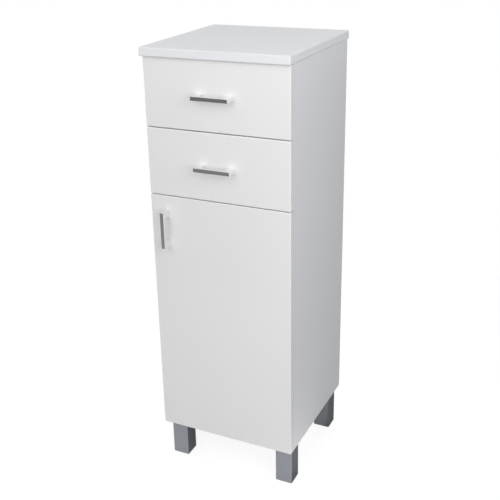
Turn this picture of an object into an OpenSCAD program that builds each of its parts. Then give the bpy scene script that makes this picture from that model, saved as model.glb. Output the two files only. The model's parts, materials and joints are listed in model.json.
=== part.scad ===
// Narrow bathroom floor cabinet: two drawers over a tall door, on four square legs.
// Origin at the centre of the footprint on the floor, fronts facing -Y, millimetres.

/* [Cabinet] */
// Width of the carcass and of the fronts
cab_w = 324; // [290:1:450]
// Depth of the side panels
cab_d = 300; // [290:1:450]
// Thickness of the coated boards
board = 16; // [15:0.5:19]
// Thickness of the top panel
top_t = 18; // [15:0.5:30]
// Thickness of the back panel
back_t = 3; // [2.5:0.5:5]
// Overhang of the top panel past each side
top_side = 3; // [1:0.5:20]
// Overhang of the top panel past the front faces
top_front = 9; // [1:0.5:25]
// Radius of the eased board edges
ease_r = 2; // [0.5:0.1:5]

/* [Legs] */
// Side of each square leg
leg_w = 40; // [30:1:60]
// Height of the legs
leg_h = 97; // [60:1:160]
// Wall of the hollow legs
leg_wall = 2.5; // [1.5:0.1:4]
// Setback of the legs from the outer faces of the side panels
leg_side = 7; // [1:0.5:12]
// Setback of the front legs from the front edge of the side panels
leg_front = 5; // [0:0.5:30]
// Setback of the rear legs from the rear edge of the side panels
leg_rear = 11; // [0:0.5:30]

/* [Fronts] */
// Height of each drawer front
drawer_h = 145; // [135:1:200]
// Height of the door
door_h = 574; // [450:1:800]
// Gap between one front and the next
front_gap = 2; // [1.5:0.5:5]
// Gap between the upper drawer and the top panel
top_gap = 1; // [1:0.5:5]
// Gap between the fronts and the carcass
back_gap = 2; // [1.5:0.1:4]

/* [Handles] */
// Overall length of a handle
grip_l = 84; // [76:1:120]
// Distance between the two screws of a handle
grip_pitch = 64; // [56:1:70]
// Reach of a handle out from its front
grip_out = 27; // [20:1:40]
// Thickness of the bar that the fingers close on
grip_t = 5; // [3:0.5:8]
// Height of the bar
grip_h = 9; // [6:0.5:14]
// Length of each foot where it meets the front
foot_l = 19; // [14:0.5:24]
// Distance from the left edge of the door to its handle
door_grip_side = 40; // [20:1:100]
// Distance from the top of the door to the top of its handle
door_grip_top = 29; // [10:1:120]

/* [Drawers] */
// Thickness of the drawer sides and back
box_t = 12; // [10:0.5:15]
// Height of the drawer sides
box_h = 100; // [70:1:105]
// Length of the drawer sides and of their runners
box_l = 250; // [220:1:255]
// Height of the drawer box above the lower edge of its front
box_up = 20; // [18:1:24]
// Thickness of the drawer bottoms
bottom_t = 3; // [2.5:0.5:5]

/* [Runners] */
// Clear width on each side of a drawer for its runner
runner_w = 12.5; // [12:0.1:14]
// Steel thickness of the runners
runner_t = 1.2; // [1:0.1:1.5]
// Height of the cabinet runners
runner_h = 30; // [29.5:0.5:36]
// Radius of the runner rollers
roller_r = 9; // [8:0.1:9.2]
// Radius of the roller axles
axle_r = 2.5; // [2:0.1:3]
// Distance of each roller from the end of its runner
roller_in = 14; // [12:0.5:20]

/* [Door hinges] */
// Distance of each hinge from the end of the door
hinge_end = 100; // [60:1:130]
// Radius of the cup that is let into the door
cup_r = 17.5; // [17:0.1:18]
// Depth of the cup
cup_h = 11.3; // [10.5:0.1:12]
// Distance between the cup and the edge of the door
cup_edge = 4; // [3:0.1:4.5]
// Radius of the hinge pins
pin_r = 1.25; // [1:0.05:1.5]

/* [Shelf and fixings] */
// Height of the adjustable shelf above the bottom panel
shelf_up = 270; // [150:1:300]
// Radius of a cam lock
cam_r = 7.4; // [6:0.1:7.5]
// Distance of the cam locks from the joint
cam_reach = 34; // [30:1:40]
// Distance of the cam locks from the front and rear edges
cam_edge = 60; // [50:1:70]
// Radius of the dowels
dowel_r = 4; // [3:0.5:4]
// Length of the dowels
dowel_l = 30; // [24:1:34]

/* [Hidden] */
$fn = 48;

// Running clearance of a turning fit, clearance of a fixed fit, and the gap of a loose seat
run_gap = 0.05;
fit_gap = 0.05;
seat_gap = 0.3;
// How far a cutting shape runs on past the face that it cuts
past = 1;

// Places across, from the middle
half_w = cab_w / 2;
in_half = half_w - board;
box_half = in_half - runner_w;
box_in = box_half - box_t;

// Places from front to back
front_y = (grip_out - (board + back_gap + cab_d + back_t)) / 2;
door_back = front_y + board;
carc_y = door_back + back_gap;
rear_y = carc_y + cab_d;

// Places up from the floor
stack_h = top_gap + 2 * front_gap + 2 * drawer_h + door_h;
slab_z = leg_h + stack_h;
upper_z = slab_z - top_gap - drawer_h;
lower_z = upper_z - front_gap - drawer_h;
door_z = leg_h;
mid_z = lower_z - (front_gap + board) / 2;
shelf_z = leg_h + board + shelf_up;
leg_x = half_w - leg_side - leg_w / 2;
leg_ys = [carc_y + leg_front + leg_w / 2, rear_y - leg_rear - leg_w / 2];

// Hollow legs: rounded corners, and two crossed ribs that bite into the wall and stop short of the top
leg_corner = 2;
rib_t = 2;
rib_bite = 1;
rib_drop = 8;

// Countersunk wood screws, seated flush
screw_r = 1.75;
screw_head_r = 3.4;
screw_head_h = 1.8;
box_screw_l = 25;
cup_screw_l = 13;

// Flat-headed carcass screws in 5 mm holes
euro_r = 2.5;
euro_l = 11;
euro_head_r = 4;
euro_head_h = 1.6;

// Machine screws of the handles, with pan heads on the inner faces
bolt_r = 2;
bolt_head_r = 4;
bolt_head_h = 2.4;
bolt_bite = 9;

// Cam locks with their bolts, dowels, nails, shelf pins and leg bolts
cam_h = 12.4;
cam_slot_w = 1.2;
cam_slot_l = 6;
cam_slot_d = 1.2;
stem_r = 2.9;
stem_head_r = 3.6;
stem_head_h = 2.5;
cam_thread_r = 2.5;
cam_thread_l = 11;
stem_bore_r = 4.1;
dowel_bite = 10;
dowel_step = 30;
nail_r = 0.8;
nail_l = 18;
nail_head_r = 1.8;
nail_head_h = 0.7;
nail_pitch = 150;
peg_r = 2.5;
peg_in = 9;
peg_out = 8;
peg_edge = 37;
peg_pitch = 32;
leg_bolt_r = 3.9;
leg_wood_r = 3;
leg_bite = 40;
leg_bolt_skin = 2;
boss_r = 7;

// Roller runners: places are measured from the runner's lower edge and the side panel
runner_in = 1;
flange_w = 10.5;
lip_w = 7;
tread_r = roller_r + run_gap;
track_u = 4;
roller_u = 2.2;
roller_w = 8.1;
cap_t = 0.5;
cap_r = 3.6;
cap_gap = 0.1;
roller_step = 0.35;
rear_roller_z = runner_t + tread_r;
front_roller_z = rear_roller_z + roller_step;
track_z = front_roller_z + tread_r;
web_gap = 0.1;
web_u = runner_w - runner_t;
web_z = runner_t + web_gap;
box_z = web_z + runner_t;
foot_w = 11;
runner_screw_z = runner_h - runner_t - euro_head_r - seat_gap;
runner_screw_front = 35;
runner_screw_mid = 131;
runner_screw_rear = 23;
runner_screw_ys = [runner_screw_front, runner_screw_mid, box_l - runner_screw_rear];
drawer_screw_front = 40;
drawer_screw_rear = 60;
drawer_screw_ys = [drawer_screw_front, box_l - drawer_screw_rear];
drawer_screw_gap = 0.2;

// Drawer boxes: the bottom runs in grooves, and dowels and screws join the corners
groove_z = 10;
groove_d = 5;
groove_gap = 0.2;
box_joint_low = 30;
back_screw_top = 20;
front_dowel_top = 22;
back_screw_zs = [box_joint_low, box_h - back_screw_top];
front_dowel_zs = [box_joint_low, box_h - front_dowel_top];

// Concealed hinges: places are measured from the side panel's inner face and the door's back
cup_x = board - cup_edge - cup_r;
cup_wall = 1;
arm_pivot = [-5, 2.2];
link_pivot = [-15, -5];
door_pivot = [7.4, -4.9];
link_tip = [-0.2, -5];
link_bends = [[-5.8, -2.5], [0.5, -8.8]];
link_h = [4.6, 6.4];
link_r = 1.2;
link_web = [2.6, 0.8];
link_web_gap = 0.15;
arm_h = [6.9, 8.4];
eye_r = 1.9;
arm_eye_r = 2.3;
inner_h = 3.4;
inner_r = 1.15;
inner_eye_r = 2.2;
arm_nose = 2.4;
arm_roof = [-14.2, -13];
arm_seat_y = [22, 56];
arm_play = 0.2;
plate_t = 2;
plate_setback = 37;
plate_screw_y = back_gap + plate_setback;
plate_half_w = 9;
plate_end = 2;
plate_screw_z = 16;
plate_half_z = 22;
flange_t = 1;
flange_half_z = 29;
cup_screw_back = 6;
cup_screw_x = cup_x - cup_screw_back;
flange_edge = 6;
ear_from = [-2.6, -6];
ear_size = [6, 8.2];
cup_screw_z = 24;
bumper_r = 4;
bumper_in = 60;
shelf_side = 1;
shelf_front = 20;
shelf_rear = 2;

white = [0.9, 0.91, 0.93];
lining = [0.86, 0.87, 0.88];
chrome = [0.72, 0.74, 0.77];
steel = [0.62, 0.63, 0.65];
leg_grey = [0.58, 0.6, 0.62];
timber = [0.78, 0.66, 0.48];
plastic = [0.8, 0.8, 0.78];

module both_sides() {
    children();
    mirror([1, 0, 0]) children();
}

// A box between two opposite corners
module block(a, b) translate(a) cube(b - a);

// Extrudes a plan shape over a span of heights, once above the middle and once below it
module walls(span)
    for (s = [0, 1])
        mirror([0, 0, s]) translate([0, 0, span[0]]) linear_extrude(span[1] - span[0]) children();

// A rectangle d by h whose two corners at x = 0 are rounded
module eased(d, h) {
    translate([ease_r, 0]) square([d - ease_r, h]);
    translate([0, ease_r]) square([d, h - 2 * ease_r]);
    for (y = [ease_r, h - ease_r]) translate([ease_r, y]) circle(ease_r);
}

// Extrudes a section of depth against height along +X
module along_x(l) rotate([90, 0, 90]) linear_extrude(l) children();

// A front of height h with eased front edges, centred across
module front_board(h)
    translate([-half_w, front_y, 0]) intersection() {
        linear_extrude(h) mirror([1, -1]) eased(board, cab_w);
        along_x(cab_w) eased(board, h);
    }

// A square with rounded corners, centred
module rounded_square(w, r) {
    square([w, w - 2 * r], center = true);
    square([w - 2 * r, w], center = true);
    for (x = [-1, 1], y = [-1, 1]) translate([x, y] * (w / 2 - r)) circle(r);
}

// ---- fasteners, each along +Z from the joint; c widens it into its hole ----

module wood_screw(l, c = 0) {
    translate([0, 0, -c]) cylinder(h = screw_head_h + c, r1 = screw_head_r + c, r2 = screw_r + c);
    cylinder(h = l + c, r = screw_r + c);
}

module euro_screw(t) {
    translate([0, 0, -t]) cylinder(h = t + euro_l, r = euro_r);
    translate([0, 0, -t - euro_head_h]) cylinder(h = euro_head_h, r = euro_head_r);
}

module euro_hole(t = 0)
    translate([0, 0, -t - seat_gap]) cylinder(h = t + euro_l + 2 * seat_gap, r = euro_r + fit_gap);

module dowel(c = 0)
    translate([0, 0, -dowel_bite - c]) cylinder(h = dowel_l + 2 * c, r = dowel_r + c);

module nail(c = 0) {
    translate([0, 0, -c]) cylinder(h = nail_head_h + c, r = nail_head_r + c);
    cylinder(h = nail_l + c, r = nail_r + c);
}

module peg_hole() translate([0, 0, -seat_gap]) cylinder(h = peg_in + 2 * seat_gap, r = peg_r + fit_gap);

// The bolt is screwed into one board and its head is caught by the cam in the other
module cam_bolt() {
    translate([0, 0, -cam_thread_l]) cylinder(h = cam_thread_l, r = cam_thread_r);
    cylinder(h = cam_reach, r = stem_r);
    translate([0, 0, cam_reach - stem_head_h / 2]) cylinder(h = stem_head_h, r = stem_head_r);
}

module cam_lock()
    translate([-board / 2, 0, cam_reach]) difference() {
        rotate([0, 90, 0]) cylinder(h = cam_h, r = cam_r);
        translate([board / 2, 0, -cam_r - past]) cylinder(h = cam_r + past, r = stem_bore_r);
        translate([board / 2, 0, -past]) cylinder(h = stem_bore_r, r = stem_bore_r);
        for (size = [[cam_slot_w, cam_slot_l], [cam_slot_l, cam_slot_w]])
            block([-past, -size[0] / 2, -size[1] / 2], [cam_slot_d, size[0] / 2, size[1] / 2]);
    }

module cam_holes() {
    translate([0, 0, -cam_thread_l - seat_gap])
        cylinder(h = cam_thread_l + 2 * seat_gap, r = cam_thread_r + fit_gap);
    cylinder(h = cam_reach, r = stem_bore_r);
    translate([-board / 2 - seat_gap, 0, cam_reach]) rotate([0, 90, 0])
        cylinder(h = cam_h + 2 * seat_gap, r = cam_r + fit_gap);
}

// ---- carcass ----

cam_ys = [cam_edge, cab_d - cam_edge];
dowel_ys = [cam_edge + dowel_step, cab_d - cam_edge - dowel_step];

// Joints of the bottom and middle panels with the sides: +Z runs into the panel's end
module at_ends(ys)
    both_sides() for (z = [leg_h, mid_z], y = ys)
        translate([in_half, carc_y + y, z + board / 2]) rotate([0, -90, 0]) children();

// Joints of the sides with the top panel: +Z runs down into the side
module at_tops(ys)
    both_sides() for (y = ys)
        translate([half_w - board / 2, carc_y + y, slab_z]) rotate([180, 0, 0]) children();

module end_holes() {
    at_ends(cam_ys) cam_holes();
    at_ends(dowel_ys) dowel(fit_gap);
}

module top_holes() {
    at_tops(cam_ys) cam_holes();
    at_tops(dowel_ys) dowel(fit_gap);
}

module cam_locks() color(steel) {
    at_ends(cam_ys) cam_lock();
    at_tops(cam_ys) cam_lock();
}

module cam_bolts() color(steel) {
    at_ends(cam_ys) cam_bolt();
    at_tops(cam_ys) cam_bolt();
}

module dowels() color(timber) {
    at_ends(dowel_ys) dowel();
    at_tops(dowel_ys) dowel();
}

module at_nails() {
    both_sides() for (z = [leg_h + board / 2 : nail_pitch : slab_z - board])
        translate([half_w - board / 2, rear_y + back_t, z]) rotate([90, 0, 0]) children();
    both_sides() for (z = [leg_h, mid_z])
        translate([in_half / 2, rear_y + back_t, z + board / 2]) rotate([90, 0, 0]) children();
}

module back_nails() color(steel) at_nails() nail();

module top_panel() color(white)
    difference() {
        w = cab_w + 2 * top_side;
        d = rear_y + back_t - front_y + top_front;
        translate([-w / 2, front_y - top_front, slab_z]) intersection() {
            linear_extrude(top_t) mirror([1, -1]) eased(d, w);
            along_x(w) eased(d, top_t);
            translate([0, d, 0]) rotate([90, 0, 0]) linear_extrude(d) intersection() {
                eased(w, top_t);
                translate([w, 0]) mirror([1, 0]) eased(w, top_t);
            }
        }
        top_holes();
    }

module at_pegs(rows)
    both_sides() for (y = [carc_y + peg_edge, rear_y - peg_edge], row = rows)
        translate([in_half, y, shelf_z - peg_r + row * peg_pitch]) rotate([0, 90, 0]) children();

module at_runner_screws(z0)
    both_sides() for (y = runner_screw_ys)
        translate([in_half, carc_y + runner_in + y, runner_z(z0) + runner_screw_z])
            rotate([0, 90, 0]) children();

module side_panel()
    difference() {
        block([in_half, carc_y, leg_h], [half_w, rear_y, slab_z]);
        end_holes();
        top_holes();
        at_pegs([-1, 0, 1]) peg_hole();
        for (z0 = [lower_z, upper_z]) at_runner_screws(z0) euro_hole();
        at_nails() nail(fit_gap);
    }

module left_side_panel() color(white) mirror([1, 0, 0]) side_panel();

module right_side_panel() color(white)
    difference() {
        side_panel();
        at_plate_screws() euro_hole();
    }

// A fixed panel between the sides, its lower face at z
module cross_panel(z)
    difference() {
        block([-in_half, carc_y, z], [in_half, rear_y, z + board]);
        end_holes();
        at_nails() nail(fit_gap);
    }

module bottom_panel() color(lining)
    difference() {
        cross_panel(leg_h);
        at_legs() leg_bolt(fit_gap);
    }

module middle_panel() color(lining) cross_panel(mid_z);

module adjustable_shelf() color(lining)
    block([-in_half + shelf_side, carc_y + shelf_front, shelf_z],
        [in_half - shelf_side, rear_y - shelf_rear, shelf_z + board]);

module shelf_pins() color(steel)
    at_pegs([0]) translate([0, 0, -peg_out]) cylinder(h = peg_out + peg_in, r = peg_r);

module back_panel() color(lining)
    difference() {
        block([-half_w, rear_y, leg_h], [half_w, rear_y + back_t, slab_z]);
        at_nails() nail(fit_gap);
    }

// ---- legs ----

module at_legs()
    both_sides() for (y = leg_ys) translate([leg_x, y, leg_h]) children();

// Hanger bolt: machine thread down into the leg, wood thread up into the bottom panel
module leg_bolt(c = 0) {
    translate([0, 0, -leg_bite - c]) cylinder(h = leg_bite + c, r = leg_bolt_r + c);
    cylinder(h = board - leg_bolt_skin + c, r = leg_wood_r + c);
}

module leg(x, y) color(leg_grey)
    translate([x, y, 0]) difference() {
        union() {
            difference() {
                linear_extrude(leg_h) rounded_square(leg_w, leg_corner);
                translate([0, 0, leg_wall])
                    linear_extrude(leg_h) rounded_square(leg_w - 2 * leg_wall, leg_corner / 2);
            }
            cylinder(h = leg_h, r = boss_r);
            for (a = [0, 90]) rotate(a)
                block([rib_bite - leg_w / 2, -rib_t / 2, rib_bite],
                    [leg_w / 2 - rib_bite, rib_t / 2, leg_h - rib_drop]);
        }
        translate([0, 0, leg_h]) leg_bolt(fit_gap);
    }

module front_left_leg() leg(-leg_x, leg_ys[0]);
module front_right_leg() leg(leg_x, leg_ys[0]);
module rear_left_leg() leg(-leg_x, leg_ys[1]);
module rear_right_leg() leg(leg_x, leg_ys[1]);
module leg_bolts() color(steel) at_legs() leg_bolt();

// ---- roller runners: x from the side panel inwards, y back, z up from the lower edge ----

// Height of the runners of the drawer whose front starts at z0
function runner_z(z0) = z0 + box_up - box_z;

module at_runner(side, z0)
    translate([side * in_half, carc_y + runner_in, runner_z(z0)])
        mirror([side > 0 ? 1 : 0, 0, 0]) children();

module cabinet_runner(side, z0) color(white)
    at_runner(side, z0) {
        difference() {
            union() {
                cube([runner_t, box_l, runner_h]);
                cube([flange_w, box_l, runner_t]);
                translate([0, 0, runner_h - runner_t]) cube([lip_w, box_l, runner_t]);
            }
            for (y = runner_screw_ys) translate([0, y, runner_screw_z]) rotate([0, -90, 0])
                euro_hole(runner_t);
        }
        translate([0, roller_in, front_roller_z]) rotate([0, 90, 0]) {
            cylinder(h = roller_u + roller_w + cap_gap + cap_t, r = axle_r);
            translate([0, 0, roller_u + roller_w + cap_gap]) cylinder(h = cap_t, r = cap_r);
        }
    }

module drawer_runner(side, z0) color(white)
    at_runner(side, z0) translate([0, -back_gap - runner_in, 0]) {
        difference() {
            union() {
                translate([web_u, 0, web_z]) cube([runner_t, box_l, track_z + runner_t - web_z]);
                translate([web_u, 0, web_z]) cube([runner_t + foot_w, box_l, runner_t]);
                translate([track_u, 0, track_z]) cube([runner_w - track_u, box_l, runner_t]);
            }
            for (y = drawer_screw_ys)
                translate([runner_w + screw_head_r + drawer_screw_gap, y, web_z])
                    wood_screw(box_screw_l, fit_gap);
        }
        translate([roller_u - cap_gap - cap_t, box_l - roller_in, rear_roller_z]) rotate([0, 90, 0]) {
            cylinder(h = web_u - roller_u + cap_gap + cap_t, r = axle_r);
            cylinder(h = cap_t, r = cap_r);
        }
    }

module roller(z)
    translate([roller_u, 0, z]) rotate([0, 90, 0]) difference() {
        cylinder(h = roller_w, r = roller_r);
        translate([0, 0, -past]) cylinder(h = roller_w + 2 * past, r = axle_r + run_gap);
    }

module cabinet_rollers(z0) color(plastic)
    for (side = [-1, 1])
        at_runner(side, z0) translate([0, roller_in, 0]) roller(front_roller_z);

module drawer_rollers(z0) color(plastic)
    for (side = [-1, 1])
        at_runner(side, z0) translate([0, box_l - roller_in - back_gap - runner_in, 0])
            roller(rear_roller_z);

module upper_left_cabinet_runner() cabinet_runner(-1, upper_z);
module upper_right_cabinet_runner() cabinet_runner(1, upper_z);
module lower_left_cabinet_runner() cabinet_runner(-1, lower_z);
module lower_right_cabinet_runner() cabinet_runner(1, lower_z);
module upper_left_drawer_runner() drawer_runner(-1, upper_z);
module upper_right_drawer_runner() drawer_runner(1, upper_z);
module lower_left_drawer_runner() drawer_runner(-1, lower_z);
module lower_right_drawer_runner() drawer_runner(1, lower_z);

module euro_screws() color(steel) {
    for (z0 = [lower_z, upper_z]) at_runner_screws(z0) euro_screw(runner_t);
    at_plate_screws() euro_screw(plate_t);
}

// ---- drawers, each given by the height z0 of its front's lower edge ----

module at_front_dowels(z0)
    both_sides() for (z = front_dowel_zs)
        translate([box_half - box_t / 2, door_back, z0 + box_up + z]) rotate([-90, 0, 0]) children();

module at_back_screws(z0)
    both_sides() for (z = back_screw_zs)
        translate([box_half, door_back + box_l - box_t / 2, z0 + box_up + z])
            rotate([0, -90, 0]) children();

module at_bottom_screws(z0)
    both_sides() translate([box_in / 2, door_back + box_l - box_t / 2, z0 + box_up + groove_z])
        children();

module at_side_screws(z0)
    both_sides() for (y = drawer_screw_ys)
        translate([box_half - screw_head_r - drawer_screw_gap, door_back + y, z0 + box_up - runner_t])
            children();

module drawer_groove(z0)
    block([-box_in - groove_d, door_back - groove_d, z0 + box_up + groove_z],
        [box_in + groove_d, door_back + box_l + past, z0 + box_up + groove_z + bottom_t + groove_gap]);

module drawer_front(z0) color(white)
    difference() {
        translate([0, 0, z0]) front_board(drawer_h);
        drawer_groove(z0);
        at_front_dowels(z0) dowel(fit_gap);
        at_drawer_grip(z0) grip_bolts(fit_gap);
    }

module drawer_side(z0)
    difference() {
        block([box_in, door_back, z0 + box_up], [box_half, door_back + box_l, z0 + box_up + box_h]);
        drawer_groove(z0);
        at_front_dowels(z0) dowel(fit_gap);
        at_back_screws(z0) wood_screw(box_screw_l, fit_gap);
        at_side_screws(z0) wood_screw(box_screw_l, fit_gap);
    }

module drawer_back(z0) color(lining)
    difference() {
        block([-box_in, door_back + box_l - box_t, z0 + box_up + groove_z + bottom_t],
            [box_in, door_back + box_l, z0 + box_up + box_h]);
        at_back_screws(z0) wood_screw(box_screw_l, fit_gap);
        at_bottom_screws(z0) wood_screw(box_screw_l, fit_gap);
    }

module drawer_bottom(z0) color(lining)
    difference() {
        block([-box_in - groove_d + seat_gap, door_back - groove_d + seat_gap,
                z0 + box_up + groove_z],
            [box_in + groove_d - seat_gap, door_back + box_l, z0 + box_up + groove_z + bottom_t]);
        at_bottom_screws(z0) wood_screw(box_screw_l, fit_gap);
    }

module drawer_screws(z0) color(steel) {
    at_back_screws(z0) wood_screw(box_screw_l);
    at_bottom_screws(z0) wood_screw(box_screw_l);
    at_side_screws(z0) wood_screw(box_screw_l);
}

module upper_drawer_front() drawer_front(upper_z);
module upper_drawer_left_side() color(lining) mirror([1, 0, 0]) drawer_side(upper_z);
module upper_drawer_right_side() color(lining) drawer_side(upper_z);
module upper_drawer_back() drawer_back(upper_z);
module upper_drawer_bottom() drawer_bottom(upper_z);
module upper_drawer_dowels() color(timber) at_front_dowels(upper_z) dowel();
module upper_drawer_screws() drawer_screws(upper_z);
module upper_drawer_rollers() drawer_rollers(upper_z);
module upper_cabinet_rollers() cabinet_rollers(upper_z);

module lower_drawer_front() drawer_front(lower_z);
module lower_drawer_left_side() color(lining) mirror([1, 0, 0]) drawer_side(lower_z);
module lower_drawer_right_side() color(lining) drawer_side(lower_z);
module lower_drawer_back() drawer_back(lower_z);
module lower_drawer_bottom() drawer_bottom(lower_z);
module lower_drawer_dowels() color(timber) at_front_dowels(lower_z) dowel();
module lower_drawer_screws() drawer_screws(lower_z);
module lower_drawer_rollers() drawer_rollers(lower_z);
module lower_cabinet_rollers() cabinet_rollers(lower_z);

// ---- handles: x along the bar, y = 0 on the front's face, z across the bar ----

grip_r = 1.5;
foot_flare = 4;
bar_ease = 0.6;

// Plan of the bow: a bar on two feet that widen a little towards the front
module grip_plan() {
    half_l = grip_l / 2;
    inner = half_l - foot_l + foot_flare;
    bar_y = grip_t - grip_out;
    difference() {
        union() {
            translate([-half_l, grip_r - grip_out]) square([grip_l, grip_out - grip_r]);
            translate([grip_r - half_l, -grip_out]) square([grip_l - 2 * grip_r, grip_out]);
            for (x = [-1, 1] * (half_l - grip_r)) translate([x, grip_r - grip_out]) circle(grip_r);
        }
        polygon([[-inner, bar_y + grip_r], [inner, bar_y + grip_r], [inner, bar_y / 2],
            [inner - foot_flare, 0], [inner - foot_flare, past], [foot_flare - inner, past],
            [foot_flare - inner, 0], [-inner, bar_y / 2]]);
        translate([grip_r - inner, bar_y]) square([2 * (inner - grip_r), 2 * grip_r]);
        for (x = [-1, 1] * (inner - grip_r)) translate([x, bar_y + grip_r]) circle(grip_r);
    }
}

module grip() color(chrome)
    difference() {
        intersection() {
            translate([0, 0, -grip_h / 2]) linear_extrude(grip_h) grip_plan();
            translate([-grip_l / 2, -grip_out, -grip_h / 2]) along_x(grip_l) grip_section();
        }
        grip_bolts(fit_gap);
    }

// Depth against height of the bar, its two front edges eased
module grip_section() {
    translate([bar_ease, 0]) square([grip_out - bar_ease, grip_h]);
    translate([0, bar_ease]) square([grip_out, grip_h - 2 * bar_ease]);
    for (z = [bar_ease, grip_h - bar_ease]) translate([bar_ease, z]) circle(bar_ease);
}

module grip_bolts(c = 0)
    for (x = [-1, 1] * grip_pitch / 2) translate([x, 0, 0]) {
        translate([0, board, 0]) rotate([90, 0, 0]) cylinder(h = board + bolt_bite + c, r = bolt_r + c);
        translate([0, board + bolt_head_h, 0]) rotate([90, 0, 0])
            cylinder(h = bolt_head_h, r = bolt_head_r + c);
    }

module at_drawer_grip(z0) translate([0, front_y, z0 + drawer_h / 2]) children();

module at_door_grip()
    translate([door_grip_side - half_w, front_y, door_z + door_h - door_grip_top - grip_l / 2])
        rotate([0, 90, 0]) children();

module upper_handle() at_drawer_grip(upper_z) grip();
module lower_handle() at_drawer_grip(lower_z) grip();
module door_handle() at_door_grip() grip();
module upper_handle_screws() color(steel) at_drawer_grip(upper_z) grip_bolts();
module lower_handle_screws() color(steel) at_drawer_grip(lower_z) grip_bolts();
module door_handle_screws() color(steel) at_door_grip() grip_bolts();

// ---- door and its concealed hinges: x out from the side's inner face, y back from the door ----

module at_hinges()
    for (z = [door_z + hinge_end, door_z + door_h - hinge_end])
        translate([in_half, door_back, z]) children();

module at_plate_screws()
    at_hinges() for (z = [-1, 1] * plate_screw_z)
        translate([0, plate_screw_y, z]) rotate([0, 90, 0]) children();

module at_cup_screws()
    at_hinges() for (z = [-1, 1] * cup_screw_z)
        translate([cup_screw_x, flange_t, z]) rotate([90, 0, 0]) children();

module door_panel() color(white)
    difference() {
        translate([0, 0, door_z]) front_board(door_h);
        at_hinges() translate([cup_x, past, 0]) rotate([90, 0, 0])
            cylinder(h = cup_h + seat_gap + past, r = cup_r + fit_gap);
        at_cup_screws() wood_screw(cup_screw_l, fit_gap);
        at_door_grip() grip_bolts(fit_gap);
    }

module door_bumpers() color(plastic)
    for (z = [bumper_in, door_h - bumper_in])
        translate([board / 2 - half_w, door_back, door_z + z]) rotate([-90, 0, 0])
            cylinder(h = back_gap - seat_gap, r = bumper_r);

// Deep-drawn cup with a screw flange; two ears in it carry the link's pin
module hinge_cups() color(steel)
    at_hinges() difference() {
        union() {
            difference() {
                union() {
                    translate([cup_x, flange_t, 0]) rotate([90, 0, 0]) {
                        cylinder(h = cup_h + flange_t, r = cup_r);
                        cylinder(h = flange_t, r = cup_r + cup_wall);
                    }
                    block([cup_screw_x - flange_edge, 0, -flange_half_z], [cup_x, flange_t, flange_half_z]);
                }
                translate([cup_x, flange_t + past, 0]) rotate([90, 0, 0])
                    cylinder(h = cup_h + flange_t + past - cup_wall, r = cup_r - cup_wall);
            }
            intersection() {
                walls([arm_h[0], arm_h[1] - arm_play])
                    translate(door_pivot + ear_from) square(ear_size);
                translate([cup_x, 0, 0]) rotate([90, 0, 0]) cylinder(h = cup_h, r = cup_r);
            }
        }
        at_pin(door_pivot, arm_h[1], fit_gap);
        for (z = [-1, 1] * cup_screw_z)
            translate([cup_screw_x, flange_t, z]) rotate([90, 0, 0]) wood_screw(cup_screw_l, fit_gap);
    }

// A pin through a pivot, reaching half_l either side of the hinge's middle
module at_pin(pivot, half_l, c = 0)
    translate([pivot[0], pivot[1], -half_l]) cylinder(h = 2 * half_l, r = pin_r + c);

module hinge_cup_pins() color(steel) at_hinges() at_pin(door_pivot, arm_h[1] - arm_play);

module hinge_arm_pins() color(steel)
    at_hinges() for (pivot = [arm_pivot, link_pivot]) at_pin(pivot, arm_h[1]);

module hinge_cup_screws() color(steel) at_cup_screws() wood_screw(cup_screw_l);

// Outer link: two swan-necked plates, joined by a web behind the arm's pin
module hinge_outer_links() color(steel)
    at_hinges() difference() {
        union() {
            walls(link_h) {
                points = concat([arm_pivot], link_bends, [door_pivot]);
                for (i = [1 : len(points) - 1]) bar_plan(points[i - 1], points[i], link_r, link_r);
                translate(arm_pivot) circle(arm_eye_r);
                translate(door_pivot) circle(eye_r);
            }
            linear_extrude(2 * link_h[1], center = true)
                translate(arm_pivot + [-link_web[0] / 2, pin_r + link_web_gap]) square(link_web);
        }
        for (pivot = [arm_pivot, door_pivot]) at_pin(pivot, arm_h[1], run_gap);
    }

// A bar from a to b with a round end at each, the first one an eye of its own radius
module bar_plan(a, b, r, eye) {
    span = b - a;
    translate(a) rotate(atan2(span[1], span[0])) translate([0, -r]) square([norm(span), 2 * r]);
    translate(a) circle(eye);
    translate(b) circle(r);
}

// Inner link: it hangs on the arm, and its far end stands free inside the cup
module hinge_inner_links() color(steel)
    at_hinges() difference() {
        linear_extrude(2 * inner_h, center = true)
            bar_plan(link_pivot, link_tip, inner_r, inner_eye_r);
        at_pin(link_pivot, arm_h[1], run_gap);
    }

// The arm: two cheeks that hold the pins, joined by a roof that seats on the plate
module hinge_arms() color(steel)
    at_hinges() difference() {
        union() {
            walls(arm_h) polygon([
                link_pivot + [-2.6, -2.5], link_pivot + [2, -2.5], arm_pivot + [arm_nose, -2],
                arm_pivot + [arm_nose, 2.4], [arm_roof[1] + 6, 12], [arm_roof[1] + 6, arm_seat_y[1]],
                [arm_roof[0], arm_seat_y[1]], [arm_roof[0], 4], link_pivot + [-2.6, 3]]);
            block([arm_roof[0], 12, -arm_h[1]], [arm_roof[1], arm_seat_y[1], arm_h[1]]);
        }
        for (pivot = [arm_pivot, link_pivot]) at_pin(pivot, arm_h[1] + past, fit_gap);
    }

module hinge_plates() color(steel)
    at_hinges() difference() {
        union() {
            block([-plate_t, plate_screw_y - plate_half_w, -plate_half_z],
                [0, plate_screw_y + plate_half_w, plate_half_z]);
            block([arm_roof[1], arm_seat_y[0], arm_play - arm_h[0]],
                [0, arm_seat_y[1] - plate_end, arm_h[0] - arm_play]);
        }
        for (z = [-1, 1] * plate_screw_z)
            translate([0, plate_screw_y, z]) rotate([0, 90, 0]) euro_hole(plate_t);
    }

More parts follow.
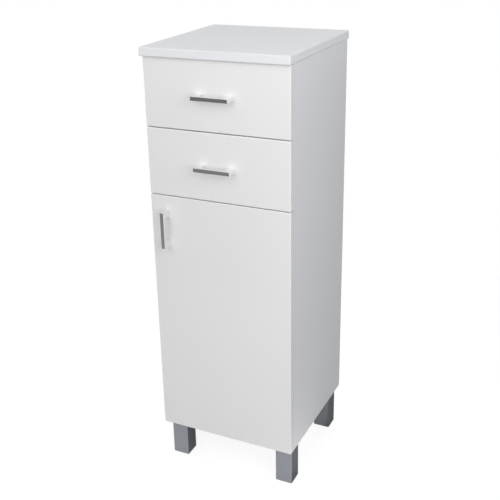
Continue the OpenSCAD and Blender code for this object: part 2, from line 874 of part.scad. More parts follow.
top_panel();
left_side_panel();
right_side_panel();
bottom_panel();
middle_panel();
adjustable_shelf();
back_panel();
shelf_pins();
cam_locks();
cam_bolts();
dowels();
back_nails();
front_left_leg();
front_right_leg();
rear_left_leg();
rear_right_leg();
leg_bolts();
upper_left_cabinet_runner();
upper_right_cabinet_runner();
lower_left_cabinet_runner();
lower_right_cabinet_runner();
euro_screws();
upper_cabinet_rollers();
lower_cabinet_rollers();
upper_drawer_front();
upper_drawer_left_side();
upper_drawer_right_side();
upper_drawer_back();
upper_drawer_bottom();
upper_drawer_dowels();
upper_drawer_screws();
upper_handle();
upper_handle_screws();
upper_left_drawer_runner();
upper_right_drawer_runner();
upper_drawer_rollers();
lower_drawer_front();
lower_drawer_left_side();
lower_drawer_right_side();
lower_drawer_back();
lower_drawer_bottom();
lower_drawer_dowels();
lower_drawer_screws();
lower_handle();
lower_handle_screws();
lower_left_drawer_runner();
lower_right_drawer_runner();
lower_drawer_rollers();
door_panel();
door_handle();
door_handle_screws();
door_bumpers();
hinge_cups();
hinge_cup_pins();
hinge_cup_screws();
hinge_outer_links();
hinge_inner_links();
hinge_arms();
hinge_arm_pins();
hinge_plates();
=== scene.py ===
import bpy, bmesh, json, math
from mathutils import Matrix, Vector


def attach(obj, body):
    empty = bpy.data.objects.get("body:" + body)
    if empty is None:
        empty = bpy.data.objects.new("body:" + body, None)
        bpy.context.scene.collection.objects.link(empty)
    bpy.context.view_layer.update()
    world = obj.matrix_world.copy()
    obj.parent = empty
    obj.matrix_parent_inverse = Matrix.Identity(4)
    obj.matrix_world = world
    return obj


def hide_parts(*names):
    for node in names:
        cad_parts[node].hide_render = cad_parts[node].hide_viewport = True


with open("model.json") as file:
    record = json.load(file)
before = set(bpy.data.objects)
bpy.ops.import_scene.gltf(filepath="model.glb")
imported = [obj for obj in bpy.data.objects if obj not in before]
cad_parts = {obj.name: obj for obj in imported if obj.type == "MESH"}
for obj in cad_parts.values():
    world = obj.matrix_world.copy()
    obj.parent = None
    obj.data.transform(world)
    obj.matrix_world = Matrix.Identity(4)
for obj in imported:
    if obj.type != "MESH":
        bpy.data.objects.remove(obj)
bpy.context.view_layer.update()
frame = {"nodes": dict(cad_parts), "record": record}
nodes = frame["nodes"]
scene = bpy.context.scene
mm = 0.001
samePlace = 0.01 * mm  # corners closer together than this count as one
print("frame loaded:", len(nodes), "nodes")

# helpers for shader nodes


def newMaterial(name):
    mat = bpy.data.materials.new(name)
    mat.use_nodes = True
    return mat, mat.node_tree.nodes["Principled BSDF"]


def addNode(tree, kind, **values):  # a value is a setting of the node or, with _ for a space, an input
    node = tree.nodes.new(kind)
    for key, value in values.items():
        if hasattr(node, key):
            setattr(node, key, value)
        else:
            node.inputs[key.replace("_", " ")].default_value = value
    return node


def newGroup(name, inputs, outputs):
    group = bpy.data.node_groups.new(name, "ShaderNodeTree")
    for label, kind, default in inputs:
        socket = group.interface.new_socket(label, in_out="INPUT", socket_type="NodeSocket" + kind)
        socket.default_value = default
    for label, kind in outputs:
        group.interface.new_socket(label, in_out="OUTPUT", socket_type="NodeSocket" + kind)
    return group, group.nodes.new("NodeGroupInput"), group.nodes.new("NodeGroupOutput")


def placeGroup(tree, group, **values):
    node = tree.nodes.new("ShaderNodeGroup")
    node.node_tree = group
    for key, value in values.items():
        node.inputs[key].default_value = value
    return node


# groups that several finishes share


def makeMottle():  # slow change of tone across a face, 0 to 1
    group, ins, outs = newGroup("mottle", [("Scale", "Float", 4.0), ("Stretch", "Vector", (1, 1, 1))],
                                [("Mask", "Float")])
    coord = addNode(group, "ShaderNodeTexCoord")
    scaled = addNode(group, "ShaderNodeVectorMath", operation="MULTIPLY")
    noise = addNode(group, "ShaderNodeTexNoise", Detail=3.0, Roughness=0.55)
    group.links.new(coord.outputs["Object"], scaled.inputs[0])
    group.links.new(ins.outputs["Stretch"], scaled.inputs[1])
    group.links.new(scaled.outputs[0], noise.inputs["Vector"])
    group.links.new(ins.outputs["Scale"], noise.inputs["Scale"])
    group.links.new(noise.outputs["Fac"], outs.inputs["Mask"])
    return group


def makeRipple():  # two sizes of waviness added up: the skin of a lacquer or a moulding
    group, ins, outs = newGroup("ripple", [("Wave", "Float", 60.0), ("Pore", "Float", 900.0),
                                           ("Pore Share", "Float", 0.3)], [("Height", "Float")])
    coord = addNode(group, "ShaderNodeTexCoord")
    wave = addNode(group, "ShaderNodeTexNoise", Detail=1.0, Roughness=0.4)
    pore = addNode(group, "ShaderNodeTexNoise", Detail=2.0, Roughness=0.6)
    mix = addNode(group, "ShaderNodeMix", data_type="FLOAT")
    for noise, label in ((wave, "Wave"), (pore, "Pore")):
        group.links.new(coord.outputs["Object"], noise.inputs["Vector"])
        group.links.new(ins.outputs[label], noise.inputs["Scale"])
    group.links.new(ins.outputs["Pore Share"], mix.inputs[0])
    group.links.new(wave.outputs["Fac"], mix.inputs[2])
    group.links.new(pore.outputs["Fac"], mix.inputs[3])
    group.links.new(mix.outputs[0], outs.inputs["Height"])
    return group


def makeStreaks():  # fine lines along one way: rolled or brushed metal, wood fibres
    group, ins, outs = newGroup("streaks", [("Stretch", "Vector", (1, 1, 0.02)),
                                            ("Scale", "Float", 800.0), ("Contrast", "Float", 1.0)],
                                [("Mask", "Float")])
    average = 0.5  # of the noise, which the contrast spreads it from
    coord = addNode(group, "ShaderNodeTexCoord")
    scaled = addNode(group, "ShaderNodeVectorMath", operation="MULTIPLY")
    noise = addNode(group, "ShaderNodeTexNoise", Detail=4.0, Roughness=0.6)
    centred = addNode(group, "ShaderNodeMath", operation="SUBTRACT")
    centred.inputs[1].default_value = average
    gain = addNode(group, "ShaderNodeMath", operation="MULTIPLY")
    back = addNode(group, "ShaderNodeMath", operation="ADD", use_clamp=True)
    back.inputs[1].default_value = average
    group.links.new(coord.outputs["Object"], scaled.inputs[0])
    group.links.new(ins.outputs["Stretch"], scaled.inputs[1])
    group.links.new(scaled.outputs[0], noise.inputs["Vector"])
    group.links.new(ins.outputs["Scale"], noise.inputs["Scale"])
    group.links.new(noise.outputs["Fac"], centred.inputs[0])
    group.links.new(centred.outputs[0], gain.inputs[0])
    group.links.new(ins.outputs["Contrast"], gain.inputs[1])
    group.links.new(gain.outputs[0], back.inputs[0])
    group.links.new(back.outputs[0], outs.inputs["Mask"])
    return group


mottle, ripple, streaks = makeMottle(), makeRipple(), makeStreaks()


def tint(tree, mask, dark, light):
    ramp = addNode(tree, "ShaderNodeMix", data_type="RGBA")
    ramp.inputs[6].default_value = (*dark, 1)
    ramp.inputs[7].default_value = (*light, 1)
    tree.links.new(mask, ramp.inputs[0])
    return ramp.outputs[2]


def spread(tree, mask, low, high):
    span = addNode(tree, "ShaderNodeMapRange", To_Min=low, To_Max=high)
    tree.links.new(mask, span.inputs["Value"])
    return span.outputs[0]


def bump(tree, height, bsdf, strength, distance):
    node = addNode(tree, "ShaderNodeBump", Strength=strength, Distance=distance)
    tree.links.new(height, node.inputs["Height"])
    tree.links.new(node.outputs[0], bsdf.inputs["Normal"])


def placeSkin(tree, look):
    return placeGroup(tree, ripple, **{"Wave": look["wave"], "Pore": look["pore"],
                                       "Pore Share": look["share"]})


def layFinish(tree, bsdf, look, tone, skin, strength):  # tone gives the colour, skin the roughness and bump
    tree.links.new(tint(tree, tone.outputs[0], look["dark"], look["light"]), bsdf.inputs["Base Color"])
    tree.links.new(spread(tree, skin.outputs[0], *look["rough"]), bsdf.inputs["Roughness"])
    bump(tree, skin.outputs[0], bsdf, strength, look["depth"])


# finishes, one per slot of the record; depth is the height of the bump in metres

board = {
    "gloss_white": dict(dark=(0.800, 0.790, 0.793), light=(0.835, 0.825, 0.827), rough=(0.20, 0.28),
                        wave=45.0, pore=700.0, share=0.25, depth=0.00004, gloss=0.5),
    "white_board": dict(dark=(0.754, 0.769, 0.794), light=(0.793, 0.808, 0.832), rough=(0.30, 0.40),
                        wave=70.0, pore=1500.0, share=0.6, depth=0.00005, gloss=0.5),
    "lining_board": dict(dark=(0.775, 0.780, 0.782), light=(0.805, 0.808, 0.806), rough=(0.42, 0.52),
                         wave=120.0, pore=2200.0, share=0.8, depth=0.00005, gloss=0.35),
}


def boardFinish(name):
    look = board[name]
    mat, bsdf = newMaterial(name)
    tree = mat.node_tree
    tone = placeGroup(tree, mottle, Scale=3.5, Stretch=(1, 1, 0.5))
    layFinish(tree, bsdf, look, tone, placeSkin(tree, look), strength=0.5)
    bsdf.inputs["Specular IOR Level"].default_value = look["gloss"]
    return mat


metal = {
    "chrome": dict(dark=(0.84, 0.84, 0.85), light=(0.91, 0.91, 0.92), rough=(0.07, 0.14), scale=900.0,
                   stretch=(0.03, 1, 1), depth=0.000004),
    "plated_steel": dict(dark=(0.55, 0.55, 0.56), light=(0.70, 0.70, 0.71), rough=(0.24, 0.42),
                         scale=700.0, stretch=(1, 0.08, 1), depth=0.00001),
    "cast_zinc": dict(dark=(0.50, 0.50, 0.51), light=(0.63, 0.63, 0.64), rough=(0.38, 0.55),
                      scale=900.0, stretch=(1, 1, 1), depth=0.00002),
}


def metalFinish(name):
    look = metal[name]
    mat, bsdf = newMaterial(name)
    tree = mat.node_tree
    lines = placeGroup(tree, streaks, Scale=look["scale"], Stretch=look["stretch"], Contrast=1.4)
    layFinish(tree, bsdf, look, lines, lines, strength=0.4)
    bsdf.inputs["Metallic"].default_value = 1
    return mat


moulded = {  # flake is the share of metal pigment
    "leg_plastic": dict(dark=(0.260, 0.273, 0.300), light=(0.300, 0.314, 0.341), rough=(0.38, 0.48),
                        wave=90.0, pore=2600.0, share=0.8, depth=0.00006, gloss=0.3, flake=0.6),
    "coated_steel": dict(dark=(0.77, 0.77, 0.76), light=(0.82, 0.82, 0.81), rough=(0.30, 0.42),
                         wave=160.0, pore=1800.0, share=0.5, depth=0.00006, gloss=0.5, flake=0),
    "roller_plastic": dict(dark=(0.66, 0.66, 0.63), light=(0.74, 0.74, 0.71), rough=(0.32, 0.45),
                           wave=140.0, pore=2000.0, share=0.5, depth=0.00004, gloss=0.4, flake=0),
}


def mouldedFinish(name):
    look = moulded[name]
    mat, bsdf = newMaterial(name)
    tree = mat.node_tree
    tone = placeGroup(tree, mottle, Scale=9.0, Stretch=(1, 1, 0.4))
    layFinish(tree, bsdf, look, tone, placeSkin(tree, look), strength=0.5)
    bsdf.inputs["Specular IOR Level"].default_value = look["gloss"]
    bsdf.inputs["Metallic"].default_value = look["flake"]
    return mat


fibre = {
    "hardboard": dict(dark=(0.70, 0.70, 0.69), light=(0.78, 0.78, 0.775), rough=(0.55, 0.72), scale=420.0,
                      stretch=(1, 1, 1), contrast=1.6, depth=0.00012),
    "dowel_wood": dict(dark=(0.46, 0.31, 0.17), light=(0.68, 0.51, 0.32), rough=(0.55, 0.72), scale=900.0,
                       stretch=(0.06, 1, 1), contrast=1.8, depth=0.00010),
}


def fibreFinish(name):
    look = fibre[name]
    mat, bsdf = newMaterial(name)
    tree = mat.node_tree
    grain = placeGroup(tree, streaks, Scale=look["scale"], Stretch=look["stretch"],
                       Contrast=look["contrast"])
    layFinish(tree, bsdf, look, grain, grain, strength=0.6)
    return mat


finishes = {}
for table, make in ((board, boardFinish), (metal, metalFinish), (moulded, mouldedFinish),
                    (fibre, fibreFinish)):
    for name in table:
        finishes[name] = make(name)
print("finishes made:", len(finishes))

# the CAD nodes keep their shape and get a finish and finely broken edges

slotOf = {part["node"]: part["material_slot"] for part in frame["record"]["subparts"]}

broken = {  # width of the broken edge in mm, by slot
    "gloss_white": 0.3, "white_board": 0.5, "lining_board": 0.3, "hardboard": 0.2, "chrome": 0.5,
    "leg_plastic": 0.5, "coated_steel": 0.15, "cast_zinc": 0.3, "plated_steel": 0.1,
}
edges = dict(flat=0.5, sharp=35, cuts=2)  # in degrees: joined as one face below flat, broken above sharp


def dressNode(name):
    obj, slot = nodes[name], slotOf[name]
    obj.data.materials.clear()
    obj.data.materials.append(finishes[slot])
    if slot in broken:
        weld = obj.modifiers.new("weld", "WELD")
        weld.merge_threshold = samePlace
        whole = obj.modifiers.new("wholeFaces", "DECIMATE")
        whole.decimate_type = "DISSOLVE"
        whole.angle_limit = math.radians(edges["flat"])
        bevel = obj.modifiers.new("brokenEdge", "BEVEL")
        bevel.width = broken[slot] * mm
        bevel.segments = edges["cuts"]
        bevel.limit_method = "ANGLE"
        bevel.angle_limit = math.radians(edges["sharp"])
        bevel.harden_normals = True
        even = obj.modifiers.new("evenShading", "WEIGHTED_NORMAL")
        even.keep_sharp = True


for name in nodes:
    dressNode(name)
print("CAD nodes dressed")

# small turned pieces: each one stands for a CAD node and is placed from that node's own solids

bodyOf = {name: body for body, names in frame["record"]["behaviour"]["bodies"].items() for name in names}

atEnd = 0.2 * mm  # corners closer than this to an end of a solid belong to that end
headSides = 16  # four for each arm of a cross recess
ringsPerTurn = 4  # of a thread, which takes one turn to run in and one to run out
ridgeSlope = 3  # the higher, the narrower a thread's ridge
recessFloor = 0.45  # size of a cross recess at its bottom, as a share of its mouth
arcMiddle = 0.3  # where the middle of a quarter round lies between its two ends


def solidsOf(name):  # the corners of each separate solid in a CAD node, in the same order each run
    shape = bmesh.new()
    shape.from_mesh(nodes[name].data)
    bmesh.ops.remove_doubles(shape, verts=shape.verts, dist=samePlace)
    shape.verts.index_update()
    reached, solids = set(), []
    for first in shape.verts:
        if first.index in reached:
            continue
        reached.add(first.index)
        solid, rim = [], [first]
        while rim:
            vert = rim.pop()
            solid.append(vert.co.copy())
            for near in (edge.other_vert(vert) for edge in vert.link_edges):
                if near.index not in reached:
                    reached.add(near.index)
                    rim.append(near)
        solids.append(solid)
    shape.free()
    return solids


def lieOf(solid, along):  # where a piece drawn along +Z from its head lies, and its length in mm
    low = Vector([min(point[i] for point in solid) for i in range(3)])
    high = Vector([max(point[i] for point in solid) for i in range(3)])
    size, middle = high - low, (low + high) / 2
    axis = max(range(3), key=lambda i: abs(size[i] - sorted(size)[1]))  # the odd one of the three sizes

    def girth(end):
        return max((point - middle).length_squared - (point[axis] - middle[axis]) ** 2
                   for point in solid if abs(point[axis] - end) < atEnd)

    way = Vector([1.0 if i == axis else 0.0 for i in range(3)])
    if along is None:  # the wider end is the head
        turned = girth(high[axis]) > girth(low[axis])
    else:
        turned = way.dot(Vector(along)) < 0
    start = middle.copy()
    start[axis] = high[axis] if turned else low[axis]
    turn = (-way if turned else way).to_track_quat("Z", "Y").to_matrix().to_4x4()
    return Matrix.Translation(start) @ turn @ Matrix.Scale(mm, 4), size[axis] / mm


def profile(points, radius, length=1):  # points given as shares of a radius and, if given, of a length
    return [(z * length, radius * share) for z, share in points]


def plainRings(points, sides=headSides):
    return [(z, [r] * sides) for z, r in points]


def threadRings(start, end, look):  # a helical ridge on the core that runs out at both ends
    core, rise, pitch = look["core"], look["shank"] - look["core"], look["pitch"]
    count = max(ringsPerTurn, round((end - start) / pitch * ringsPerTurn))
    rings = []
    for i in range(count + 1):
        z = start + (end - start) * i / count
        full = min(1, i / ringsPerTurn, (count - i) / ringsPerTurn)
        turns = [(z / pitch - j / headSides) % 1 for j in range(headSides)]
        ridges = [max(0, 1 - abs(turn - 0.5) * ridgeSlope) for turn in turns]
        rings.append((z, [core + rise * ridge * full for ridge in ridges]))
    return rings


def threadedEnd(look, start, length, tip):
    return threadRings(start, length - look["end"], look) + plainRings([(length, tip)])


def addCross(shape, rim, place, cross):  # closes a head with a cross recess
    reach, half, depth = cross["reach"], cross["half"], cross["depth"]
    outline = []
    for quarter in range(4):
        a = math.pi / 2 * quarter
        for x, y in ((half, -half), (reach, -half), (reach, half)):
            outline.append((x * math.cos(a) - y * math.sin(a), x * math.sin(a) + y * math.cos(a)))
    mouth = [shape.verts.new(place @ Vector((x, y, 0))) for x, y in outline]
    floor = [shape.verts.new(place @ Vector((x * recessFloor, y * recessFloor, depth))) for x, y in outline]
    for quarter in range(4):
        k = [(quarter * headSides // 4 + i) % headSides for i in (-2, -1, 0, 1, 2)]
        corner, right, left = (mouth[quarter * 3 + i] for i in range(3))
        after = mouth[(quarter * 3 + 3) % len(mouth)]
        shape.faces.new((rim[k[0]], rim[k[1]], right, corner))
        shape.faces.new((rim[k[1]], rim[k[2]], rim[k[3]], left, right))
        shape.faces.new((rim[k[3]], rim[k[4]], after, left))
    for i in range(len(mouth)):
        j = (i + 1) % len(mouth)
        shape.faces.new((mouth[i], mouth[j], floor[j], floor[i]))
    shape.faces.new(floor)


def addTurned(shape, rings, place, cross=None, hollow=False):
    loops = []
    for z, radii in rings:
        step = 2 * math.pi / len(radii)
        loops.append([shape.verts.new(place @ Vector((r * math.cos(step * j), r * math.sin(step * j), z)))
                      for j, r in enumerate(radii)])
    pairs = list(zip(loops, loops[1:])) + ([(loops[-1], loops[0])] if hollow else [])
    for low, high in pairs:
        for j in range(len(low)):
            k = (j + 1) % len(low)
            shape.faces.new((low[j], low[k], high[k], high[j]))
    if hollow:
        return
    shape.faces.new(loops[-1])
    if cross:
        addCross(shape, loops[0], place, cross)
    else:
        shape.faces.new(loops[0])


def finishPiece(shape, name, node, smooth=40):  # one object for all the solids of a CAD node
    bmesh.ops.recalc_face_normals(shape, faces=shape.faces)
    mesh = bpy.data.meshes.new(name)
    shape.to_mesh(mesh)
    shape.free()
    for face in mesh.polygons:
        face.use_smooth = True
    mesh.set_sharp_from_angle(angle=math.radians(smooth))
    mesh.materials.append(finishes[slotOf[node]])
    piece = bpy.data.objects.new(name, mesh)
    scene.collection.objects.link(piece)
    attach(piece, bodyOf[node])
    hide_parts(node)


def makeTurned(node, name, draw, look):
    shape = bmesh.new()
    for solid in solidsOf(node):
        place, length = lieOf(solid, look.get("along"))
        addTurned(shape, draw(look, length), place, look.get("cross"), look.get("hollow", False))
    finishPiece(shape, name, node)


# sizes in mm, measured from the head along the piece; a crown is depths with shares of the head's radius

woodScrew = dict(head=3.4, sunk=1.8, shank=1.75, neck=0.9, plain=4.5, runIn=0.4, core=1.15, pitch=2.2,
                 end=3.2, tip=0.2, cross=dict(reach=1.95, half=0.42, depth=1.5))


def drawWoodScrew(look, length):
    head = [(0, look["head"]), (look["sunk"], look["shank"]), (look["plain"], look["shank"] * look["neck"])]
    return plainRings(head) + threadedEnd(look, look["plain"] + look["runIn"], length, look["tip"])


panScrew = dict(head=4.0, crown=((0, 0.70), (0.25, 0.84), (0.7, 0.95), (1.3, 1)), headHeight=2.4,
                shank=2.0, threaded=13, runIn=0.2, core=1.65, pitch=0.8, end=0.5, tip=0.8,
                cross=dict(reach=2.2, half=0.5, depth=1.6))


def drawPanScrew(look, length):
    h, r, shank, bare = look["headHeight"], look["head"], look["shank"], length - look["threaded"]
    head = profile(look["crown"], r) + [(h, r), (h, shank), (bare, shank)]
    return plainRings(head) + threadedEnd(look, bare + look["runIn"], length, look["core"] * look["tip"])


systemScrew = dict(head=4.0, crown=((0, 0.84), (0.25, 0.95), (0.6, 1)), headHeight=1.6, shank=2.5, neck=0.9,
                   neckEnd=0.5, runIn=0.6, core=1.85, pitch=1.9, end=1.2, tip=0.7,
                   cross=dict(reach=2.2, half=0.5, depth=1.3))


def drawSystemScrew(look, length):
    h, r = look["headHeight"], look["head"]
    neck = [(h, r), (h, look["shank"] * look["neck"]), (h + look["neckEnd"], look["core"])]
    return (plainRings(profile(look["crown"], r) + neck)
            + threadedEnd(look, h + look["runIn"], length, look["core"] * look["tip"]))


camBolt = dict(head=3.6, crown=((0, 0.75), (0.5, 0.96), (1.1, 1), (2.0, 0.96)), headHeight=2.5, neck=1.9,
               neckEnd=6.0, stem=2.9, stemFrom=7.0, step=0.4, taper=0.9, threaded=11, runIn=0.2, core=1.8,
               shank=2.5, pitch=1.7, end=1.0, tip=0.7)


def drawCamBolt(look, length):
    neck, stem, bare = look["neck"], look["stem"], length - look["threaded"]
    head = profile(look["crown"], look["head"]) + [(look["headHeight"], neck), (look["neckEnd"], neck)]
    body = [(look["stemFrom"], stem), (bare - look["step"], stem), (bare, stem * look["taper"])]
    return (plainRings(head + body + [(bare, look["core"])])
            + threadedEnd(look, bare + look["runIn"], length, look["core"] * look["tip"]))


hangerBolt = dict(foot=0.85, footEnd=0.8, waist=0.9, waistGap=0.5, joint=40, end=3.0, tip=0.3,
                  lower=dict(core=3.3, shank=3.9, pitch=1.25), upper=dict(core=2.1, shank=3.0, pitch=2.6))


def drawHangerBolt(look, length):  # a machine thread below the joint and a wood thread above it
    lower, upper, joint, gap = look["lower"], look["upper"], look["joint"], look["waistGap"]
    return (plainRings([(0, lower["core"] * look["foot"])])
            + threadRings(look["footEnd"], joint - gap, lower)
            + plainRings([(joint, lower["core"] * look["waist"])])
            + threadRings(joint + gap, length - look["end"], upper)
            + plainRings([(length, look["tip"])]))


panelNail = dict(head=1.8, crown=((0, 0.55), (0.12, 0.9), (0.3, 1), (0.55, 0.97)), shank=0.8,
                 grip=((0.7, 1), (1.4, 0.95), (1.6, 1)), point=2.2, tip=0.15)


def drawNail(look, length):
    shank = look["shank"]
    head = profile(look["crown"], look["head"]) + profile(look["grip"], shank)
    return plainRings(head + [(length - look["point"], shank), (length, shank * look["tip"])])


flutedDowel = dict(crest=4.0, flute=3.72, flutes=12, chamfer=1.2, end=0.8)


def drawDowel(look, length):
    crest, cut = look["crest"], look["chamfer"]
    fluted = [look["flute"], crest, crest] * look["flutes"]
    end = [crest * look["end"]] * len(fluted)
    return [(0, end), (cut, fluted), (length - cut, fluted), (length, end)]


shelfPin = dict(shank=2.5, chamfer=0.5, sides=24)


def drawShelfPin(look, length):
    r, cut = look["shank"], look["chamfer"]
    mid = cut * arcMiddle
    return plainRings([(0, r - cut), (mid, r - mid), (cut, r), (length - cut, r), (length - mid, r - mid),
                       (length, r - cut)], look["sides"])


stopDome = dict(foot=4.0, dome=((0, 1), (0.35, 1), (0.62, 0.94), (0.82, 0.80), (0.95, 0.55), (1, 0.25)),
                sides=32, along=(0, 1, 0))


def drawStopDome(look, length):
    return plainRings(profile(look["dome"], look["foot"], length), look["sides"])


roller = dict(tread=9.0, round=0.6, rim=7.5, dish=0.9, slope=0.4, hub=4.3, lead=0.3, bore=2.55, sides=48,
              hollow=True)


def drawRoller(look, length):  # a tyre with rounded edges, a hub and a dished web on both faces
    tread, curve, dish, slope, lead = (look[k] for k in ("tread", "round", "dish", "slope", "lead"))
    mid = curve * arcMiddle
    near = [(curve, tread), (mid, tread - mid), (0, tread - curve), (0, look["rim"]),
            (dish, look["rim"] - slope), (dish, look["hub"] + slope), (0, look["hub"]),
            (0, look["bore"] + lead), (lead, look["bore"])]
    far = [(length - z, r) for z, r in reversed(near)]
    return plainRings(near + far, look["sides"])


turnedPieces = [  # CAD node, name of the piece, drawing, sizes
    ("upper_drawer_screws", "upper_drawer_threaded_screws", drawWoodScrew, woodScrew),
    ("lower_drawer_screws", "lower_drawer_threaded_screws", drawWoodScrew, woodScrew),
    ("hinge_cup_screws", "hinge_cup_threaded_screws", drawWoodScrew, woodScrew),
    ("upper_handle_screws", "upper_handle_threaded_screws", drawPanScrew, panScrew),
    ("lower_handle_screws", "lower_handle_threaded_screws", drawPanScrew, panScrew),
    ("door_handle_screws", "door_handle_threaded_screws", drawPanScrew, panScrew),
    ("euro_screws", "threaded_system_screws", drawSystemScrew, systemScrew),
    ("cam_bolts", "threaded_cam_bolts", drawCamBolt, camBolt),
    ("leg_bolts", "threaded_leg_bolts", drawHangerBolt, hangerBolt),
    ("back_nails", "headed_back_nails", drawNail, panelNail),
    ("dowels", "fluted_dowels", drawDowel, flutedDowel),
    ("upper_drawer_dowels", "upper_drawer_fluted_dowels", drawDowel, flutedDowel),
    ("lower_drawer_dowels", "lower_drawer_fluted_dowels", drawDowel, flutedDowel),
    ("shelf_pins", "chamfered_shelf_pins", drawShelfPin, shelfPin),
    ("door_bumpers", "domed_door_bumpers", drawStopDome, stopDome),
    ("upper_cabinet_rollers", "upper_cabinet_dished_rollers", drawRoller, roller),
    ("lower_cabinet_rollers", "lower_cabinet_dished_rollers", drawRoller, roller),
    ("upper_drawer_rollers", "upper_drawer_dished_rollers", drawRoller, roller),
    ("lower_drawer_rollers", "lower_drawer_dished_rollers", drawRoller, roller),
]
for row in turnedPieces:
    makeTurned(*row)
print("turned pieces made:", len(turnedPieces))

# floor, background and lights

studio = dict(ambient=0.40, white=1.0, floorSize=14.0, paper=0.50, floorTone=0.30, floorGlow=0.80,
              fadeFrom=0.5, fadeTo=1.3)  # the floor's shadows fade to white between these two distances


def seenDirectly(tree):  # 1 for camera, glossy and transmission rays
    path = addNode(tree, "ShaderNodeLightPath")
    first = addNode(tree, "ShaderNodeMath", operation="MAXIMUM")
    second = addNode(tree, "ShaderNodeMath", operation="MAXIMUM")
    tree.links.new(path.outputs["Is Camera Ray"], first.inputs[0])
    tree.links.new(path.outputs["Is Glossy Ray"], first.inputs[1])
    tree.links.new(first.outputs[0], second.inputs[0])
    tree.links.new(path.outputs["Is Transmission Ray"], second.inputs[1])
    return second.outputs[0]


def makeWorld():
    world = bpy.data.worlds.new("studio")
    scene.world = world
    world.use_nodes = True
    tree = world.node_tree
    back = tree.nodes["Background"]
    back.inputs["Color"].default_value = (1, 1, 1, 1)
    strength = spread(tree, seenDirectly(tree), studio["ambient"], studio["white"])
    tree.links.new(strength, back.inputs["Strength"])


def addSheet(name, low, high, height, mat):  # a level sheet from one corner to the opposite one
    (x0, y0), (x1, y1) = low, high
    mesh = bpy.data.meshes.new(name)
    mesh.from_pydata([(x0, y0, height), (x1, y0, height), (x1, y1, height), (x0, y1, height)], [],
                     [(0, 1, 2, 3)])
    mesh.materials.append(mat)
    sheet = bpy.data.objects.new(name, mesh)
    scene.collection.objects.link(sheet)
    return sheet


def floorPaper():
    mat = bpy.data.materials.new("floorPaper")
    mat.use_nodes = True
    tree = mat.node_tree
    tree.nodes.remove(tree.nodes["Principled BSDF"])
    coord = addNode(tree, "ShaderNodeTexCoord")
    far = addNode(tree, "ShaderNodeVectorMath", operation="LENGTH")
    tree.links.new(coord.outputs["Object"], far.inputs[0])
    fade = addNode(tree, "ShaderNodeMapRange", From_Min=studio["fadeFrom"], From_Max=studio["fadeTo"],
                   interpolation_type="SMOOTHSTEP")
    tree.links.new(far.outputs["Value"], fade.inputs["Value"])
    seen = seenDirectly(tree)
    # what other rays meet is plain pale paper; what the camera meets is lifted to white
    tone = addNode(tree, "ShaderNodeMix", data_type="RGBA")
    tone.inputs[6].default_value = (*[studio["paper"]] * 3, 1)
    tone.inputs[7].default_value = (*[studio["floorTone"]] * 3, 1)
    tree.links.new(seen, tone.inputs[0])
    diffuse = addNode(tree, "ShaderNodeBsdfDiffuse")
    tree.links.new(tone.outputs[2], diffuse.inputs["Color"])
    near = addNode(tree, "ShaderNodeEmission", Strength=studio["floorGlow"])
    lifted = addNode(tree, "ShaderNodeAddShader")
    tree.links.new(diffuse.outputs[0], lifted.inputs[0])
    tree.links.new(near.outputs[0], lifted.inputs[1])
    white = addNode(tree, "ShaderNodeEmission", Strength=studio["white"])
    shown = addNode(tree, "ShaderNodeMixShader")
    tree.links.new(fade.outputs[0], shown.inputs[0])
    tree.links.new(lifted.outputs[0], shown.inputs[1])
    tree.links.new(white.outputs[0], shown.inputs[2])
    out = addNode(tree, "ShaderNodeMixShader")
    tree.links.new(seen, out.inputs[0])
    tree.links.new(diffuse.outputs[0], out.inputs[1])
    tree.links.new(shown.outputs[0], out.inputs[2])
    tree.links.new(out.outputs[0], tree.nodes["Material Output"].inputs["Surface"])
    return mat


def makeFloor():
    half = studio["floorSize"] / 2
    floor = addSheet("floor", (-half, -half), (half, half), 0, floorPaper())


# place, point aimed at, width and height, watts; the bounce stands for light that a floor throws up the side

lamps = {
    "front": dict(at=(0.3, -3.0, 1.6), aim=(0, 0, 0.5), size=(2.6, 2.2), power=18),
    "key": dict(at=(-0.15, -1.7, 1.9), aim=(0, 0, 0.8), size=(1.4, 1.4), power=8.0),
    "side": dict(at=(1.18, -0.93, 1.3), aim=(0, 0, 0.7), size=(1.2, 1.2), power=12.5, mirrored=False),
    "top": dict(at=(0, 0, 3.0), aim=(0, 0, 0.6), size=(2.0, 2.0), power=5.6),
    "back": dict(at=(-0.8, 2.6, 0.54), aim=(-0.8, 0, 0.54), size=(1.6, 0.8), power=26, mirrored=False),
    "left": dict(at=(-2.6, 0.75, 0.54), aim=(0, 0.75, 0.54), size=(1.6, 0.8), power=21, mirrored=False),
    "bounce": dict(at=(0.25, -0.14, 0.01), aim=(0.25, -0.14, 1), size=(0.1, 0.1), power=0.1,
                   mirrored=False),
}


def makeLamps():
    for name, look in lamps.items():
        light = bpy.data.lights.new(name, "AREA")
        light.shape = "RECTANGLE"
        light.size, light.size_y = look["size"]
        light.energy = look["power"]
        lamp = bpy.data.objects.new(name, light)
        lamp.location = look["at"]
        lamp.visible_camera = False
        lamp.visible_glossy = look.get("mirrored", True)
        lamp.rotation_euler = (Vector(look["aim"]) - Vector(look["at"])).to_track_quat("-Z", "Y").to_euler()
        scene.collection.objects.link(lamp)


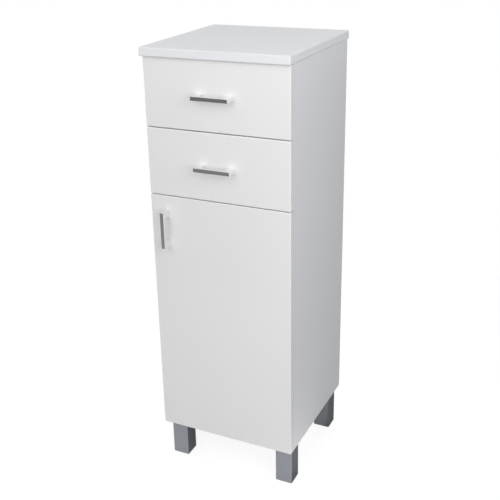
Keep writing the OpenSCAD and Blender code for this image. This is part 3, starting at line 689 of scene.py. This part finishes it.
cards = {  # grey cards close above the floor, which only reflections meet: painted reflections, the dark ones darkening what the legs and the handles mirror and the pale rear one lightening the rear leg's front; two corners and a grey for each
    "frontCard": dict(low=(-3.6, -4.8), high=(-0.30, -1.05), grey=0.30),
    "leftLegCard": dict(low=(-0.14, -0.124), high=(0.0, 0.15), grey=0.18),
    "rearLegCard": dict(low=(0.0, -0.124), high=(0.14, 0.15), grey=0.90),
    "rightCard": dict(low=(0.14, -0.124), high=(4.0, 6.0), grey=0.12),
}
cardLift = 2 * mm


def makeCards():
    for name, look in cards.items():
        mat, bsdf = newMaterial(name)
        bsdf.inputs["Base Color"].default_value = (*[look["grey"]] * 3, 1)
        bsdf.inputs["Roughness"].default_value = 1
        bsdf.inputs["Specular IOR Level"].default_value = 0
        # the card's grey is a painted reflection: only glossy rays see it
        card = addSheet(name, look["low"], look["high"], cardLift, mat)
        card.visible_camera = card.visible_diffuse = card.visible_shadow = False
        card.visible_transmission = card.visible_volume_scatter = False


makeWorld()
makeFloor()
makeLamps()
makeCards()
print("studio set")

view = dict(place=(0.76843, -1.6140, 1.2604), azimuth=26.841, elevation=21.459, roll=-1.588,
            lens=61.276, sensor=36.0, shiftX=0.0398, shiftY=-0.0387, nearest=0.05, farthest=60)


def makeCamera():
    az, el, roll = (math.radians(view[k]) for k in ("azimuth", "elevation", "roll"))
    back = Vector((math.sin(az) * math.cos(el), -math.cos(az) * math.cos(el), math.sin(el)))
    right = Vector((math.cos(az), math.sin(az), 0))
    up = back.cross(right)
    right, up = (math.cos(roll) * right + math.sin(roll) * up,
                 math.cos(roll) * up - math.sin(roll) * right)
    lens = bpy.data.cameras.new("camera")
    lens.sensor_width = view["sensor"]
    lens.lens = view["lens"]
    lens.shift_x, lens.shift_y = view["shiftX"], view["shiftY"]
    lens.clip_start, lens.clip_end = view["nearest"], view["farthest"]
    camera = bpy.data.objects.new("camera", lens)
    turn = Matrix((right, up, back)).transposed().to_4x4()
    camera.matrix_world = Matrix.Translation(Vector(view["place"])) @ turn
    scene.collection.objects.link(camera)
    scene.camera = camera


makeCamera()
scene.view_settings.view_transform = "Standard"
print("camera set")
